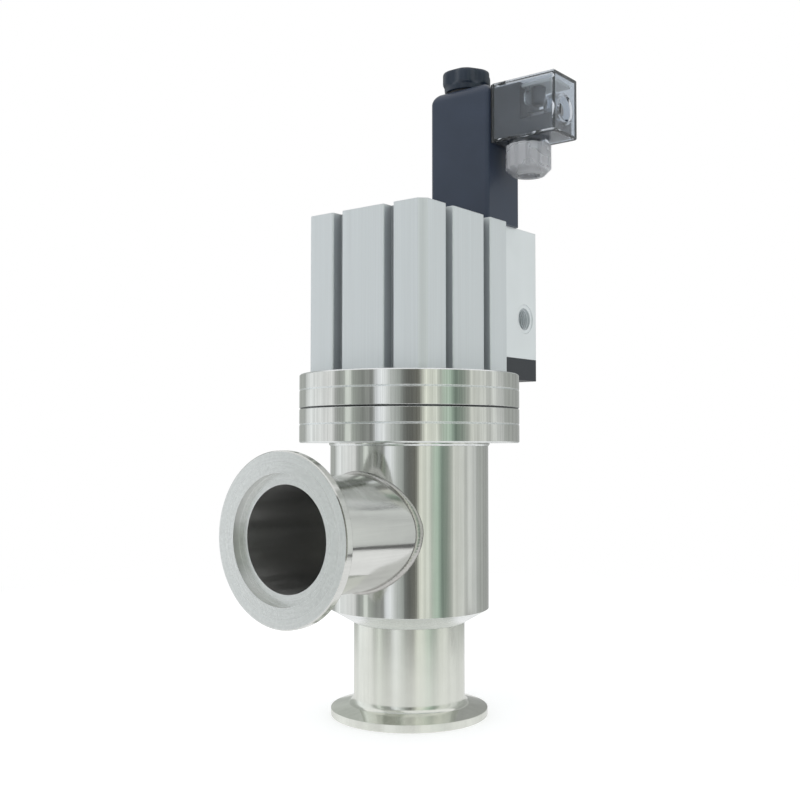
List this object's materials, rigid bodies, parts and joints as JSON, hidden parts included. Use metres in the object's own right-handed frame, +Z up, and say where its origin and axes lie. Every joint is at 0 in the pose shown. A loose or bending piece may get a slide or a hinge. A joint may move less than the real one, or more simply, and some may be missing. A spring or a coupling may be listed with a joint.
{
  "type": "vacuum angle valve",
  "caption": "Stainless right-angle vacuum valve with two small clamped flanges at a right angle, a bellows-sealed plate, a square spring-return air cylinder and a pilot solenoid valve with a clear smoked plug.",
  "frame": {"origin": "centre of the inlet flange's sealing face, on the valve's vertical axis", "axes": "+Z up the valve axis from the inlet face; the outlet port points along -Y; the pilot valve stands on the +Y side and its plug points along +X"},
  "size_m": [0.0811, 0.131, 0.2396],
  "materials": {
    "satin_steel": "fine turned stainless, satin",
    "polished_steel": "polished stainless",
    "weld_bead": "polished weld bead",
    "turned_steel": "turned and polished stainless",
    "disc_steel": "finely turned bright stainless",
    "rod_steel": "ground steel",
    "bellows_steel": "thin formed stainless",
    "screw_steel": "plain stainless fastener",
    "spring_steel": "oiled spring steel",
    "magnet": "pressed magnet",
    "bronze": "bearing bronze",
    "sintered_bronze": "sintered, porous",
    "brass": "turned brass",
    "blade_metal": "tinned blade",
    "anodised_alloy": "clear anodised extrusion, matt",
    "head_alloy": "turned aluminium",
    "piston_alloy": "turned aluminium",
    "pilot_alloy": "pale anodised, fine blasted",
    "seal_rubber": "black seal rubber",
    "gland_rubber": "grey seal rubber",
    "black_plastic": "fine moulded texture",
    "coil_plastic": "dark blue-black moulded",
    "nut_plastic": "dark moulded",
    "insert_plastic": "dark grey moulded",
    "board_pale": "pale laminate",
    "lamp_clear": "water-clear lamp",
    "smoked_clear": "smoked clear plastic",
    "gland_clear": "pale translucent plastic"
  },
  "bodies": {
    "body": {"inlet_port": "satin_steel", "outlet_port": "polished_steel", "outlet_weld": "weld_bead", "valve_chamber": "turned_steel", "chamber_flange": "disc_steel", "chamber_seal": "seal_rubber", "bonnet_flange": "disc_steel", "flange_screws": "screw_steel", "rod_bushing": "bronze", "rod_seal": "seal_rubber", "spigot_seal": "seal_rubber", "cylinder_barrel": "anodised_alloy", "block_screws": "screw_steel", "cylinder_head": "head_alloy", "head_seal": "seal_rubber", "breather": "sintered_bronze", "retaining_ring": "spring_steel", "pilot_body": "pilot_alloy", "port_seal": "seal_rubber", "channel_plug": "brass", "pilot_cap": "black_plastic", "exhaust_filter": "sintered_bronze", "cap_screws": "screw_steel", "pilot_screws": "screw_steel", "armature_tube": "rod_steel", "fixed_core": "rod_steel", "coil": "coil_plastic", "coil_seal": "seal_rubber", "coil_nut": "nut_plastic", "coil_blades": "blade_metal", "plug_gasket": "seal_rubber", "plug_housing": "smoked_clear", "terminal_block": "insert_plastic", "circuit_board": "board_pale", "lamp": "lamp_clear", "rectifier": "insert_plastic", "plug_screw": "screw_steel", "gland_nut": "gland_clear", "gland_seal": "gland_rubber", "gland_washer": "gland_clear"},
    "stem": {"valve_plate": "turned_steel", "plate_oring": "seal_rubber", "stem_rod": "rod_steel", "bellows": "bellows_steel", "piston": "piston_alloy", "piston_seal": "seal_rubber", "magnet_ring": "magnet", "piston_nut": "screw_steel", "return_spring": "spring_steel"},
    "armature": {"armature": "rod_steel", "spool": "piston_alloy", "spool_spring": "spring_steel", "armature_spring": "spring_steel"},
    "override": {"override_pin": "brass"}
  },
  "joints": [
    {"name": "valve_stroke", "type": "slide", "parent": "body", "child": "stem", "axis": [0, 0, 1], "range_m": [0, 0.016], "stiffness_N_per_m": 4000, "springref_m": -0.012, "deforming": ["bellows", "return_spring"]},
    {"name": "armature_lift", "type": "slide", "parent": "body", "child": "armature", "axis": [0, 0, 1], "range_m": [0, 0.003], "stiffness_N_per_m": 800, "springref_m": -0.003, "deforming": ["spool_spring", "armature_spring"]},
    {"name": "override_turn", "type": "hinge", "parent": "body", "child": "override", "pos_m": [-0.0025, 0.04, 0.1694], "axis": [-1, 0, 0], "range_deg": [0, 90]}
  ]
}
